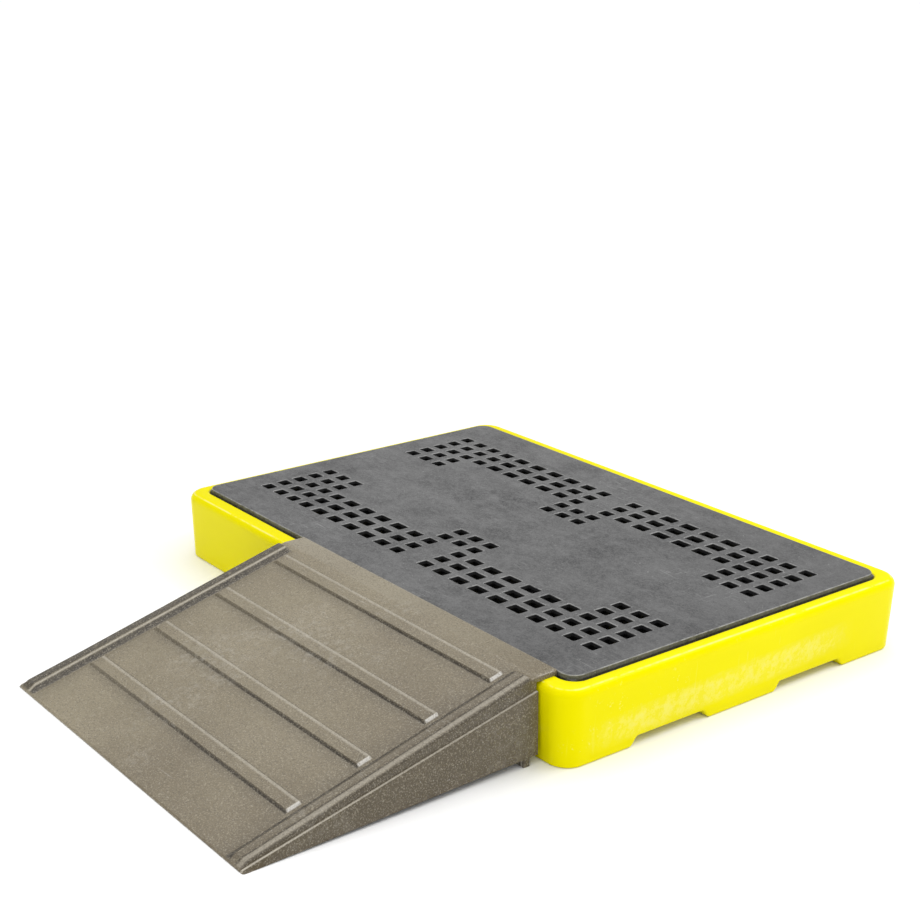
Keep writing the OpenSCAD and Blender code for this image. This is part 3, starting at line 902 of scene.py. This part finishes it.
def build_ramp():
    """One bent skin with rails, ribs, ledges and skirts, stiffened by webs and legs."""
    bm = bmesh.new()
    slope, lip = skin_slope(bm), skin_lip(bm)
    extra = (len(slope[0][0]) - len(lip[0][0])) // 2    # the ledge and skirt on each side stop at the fold
    outer, inner = slope[-1]
    joint = (outer[extra:-extra], inner[extra:-extra])
    cap(bm, *slope[0])
    cap(bm, outer[:extra + 1], inner[:extra + 1])
    cap(bm, outer[-extra - 1:], inner[-extra - 1:])
    cap(bm, *lip[-1])
    for loops in (slope, [joint] + lip):
        join_loops(bm, [o + list(reversed(i)) for o, i in loops])
    ramp_webs(bm)
    return finish_piece("ramp_moulding", bm, TAUPE, "ramp", ["ramp"], crease=38)


def ramp_webs(bm):
    """Stiffening webs under the tread, and the legs at their back ends."""
    half, under = 2.2 * MM, 2 * MM
    y0, y1 = FOOT_Y + 26 * MM, FOLD_Y - 0.5 * MM
    spots = [RAMP_X + (k - WEBS // 2) * WEB_PITCH for k in range(WEBS)]
    for x in spots:
        outline = [(y0, 0.2 * MM), (y0, FRONT_T + (y0 - FOOT_Y) * math.tan(SLOPE) - under),
                   (y1, LIP_Z - under), (y1, SKIRT_LIFT)]
        sides = [[bm.verts.new((x + off, y, z)) for y, z in outline] for off in (-half, half)]
        bm.faces.new(sides[0])
        bm.faces.new(list(reversed(sides[1])))
        join_loops(bm, sides)
    leg, back, front, top = 10 * MM, FOLD_Y - 17 * MM, FOLD_Y - 31 * MM, SKIRT_LIFT + 13 * MM
    for x in spots + [RAMP_X + side * (SKIRT_LOW - 10.2 * MM) for side in (-1, 1)]:
        block(bm, (x - leg, front, 0.0), (x + leg, back, top), 1.5 * MM)


# ---------------------------------------------------------------- studio

def look_from(name, at, turn, lens, shift):
    """Camera at a place, turned by angles in degrees."""
    data = bpy.data.cameras.new(name)
    data.lens = lens
    data.sensor_width = 36
    data.shift_x, data.shift_y = shift
    data.clip_end = 100
    camera = bpy.data.objects.new(name, data)
    camera.location = at
    camera.rotation_euler = [math.radians(a) for a in turn]
    bpy.context.collection.objects.link(camera)
    bpy.context.scene.camera = camera


def link_light(name, data, at, aim):
    """Puts a light at a place, pointed at another."""
    light = bpy.data.objects.new(name, data)
    light.location = at
    light.rotation_euler = (Vector(aim) - Vector(at)).to_track_quat("-Z", "Y").to_euler()
    light.visible_camera = False
    bpy.context.collection.objects.link(light)


def softbox(name, direction, distance, size, glow):
    """Rectangular soft light in a direction from the middle of the object; glow is its radiance."""
    data = bpy.data.lights.new(name, "AREA")
    data.shape = "RECTANGLE"
    data.size, data.size_y = size
    data.energy = glow * math.pi * size[0] * size[1]
    middle = Vector((0, -0.25, 0.1))
    link_light(name, data, middle + Vector(direction).normalized() * distance, middle)


def overhead(strength):
    """Broad light from straight above, which lights the floor evenly out to the horizon."""
    data = bpy.data.lights.new("overhead", "SUN")
    data.energy = strength * math.pi
    data.angle = math.radians(110)
    link_light("overhead", data, (0, 0, 5), (0, 0, 0))


def studio_world(low, high):
    """Pale surroundings, bright along the horizon and dimmer above."""
    world = bpy.data.worlds.new("studio")
    world.use_nodes = True
    tree = world.node_tree
    s = Shade(tree)
    split = s.node("ShaderNodeSeparateXYZ")
    s.link(tree.nodes.new("ShaderNodeTexCoord").outputs["Generated"], split.inputs["Vector"])
    background = tree.nodes["Background"]
    background.inputs["Color"].default_value = (1.0, 1.0, 1.0, 1.0)
    s.link(s.remap(split.outputs["Z"], 0.03, 0.22, low, high), background.inputs["Strength"])
    bpy.context.scene.world = world


def studio():
    """Camera at the photograph's angle, soft lights, surroundings and a white floor."""
    look_from("camera", (2.4955, -2.1920, 1.4048), (73.09, 0.014, 54.069), 66.4, (0.0975, -0.0499))
    overhead(0.80)
    studio_world(1.0, 0.28)
    softbox("strip_light", (0.45, 0.617, 0.70), 4.0, (1.8, 0.40), 15.0)
    softbox("right_softbox", (0.86, -0.42, 0.33), 4.2, (2.6, 1.6), 1.15)
    softbox("front_softbox", (-0.15, -0.92, 0.35), 4.4, (2.6, 1.4), 0.8)
    bpy.context.scene.view_settings.view_transform = "Standard"
    bm = bmesh.new()
    bmesh.ops.create_circle(bm, cap_ends=True, radius=60.0, segments=64)
    floor = finish_piece("studio_floor", bm, floor_material(), None, [])
    floor.location.z = -0.2 * MM


YELLOW, GREY, DARK, TAUPE = yellow_plastic(), grey_plastic(), column_plastic(), taupe_plastic()
studio()
build_tray()
build_deck()
for column in COLUMNS:
    build_column(column)
build_ramp()
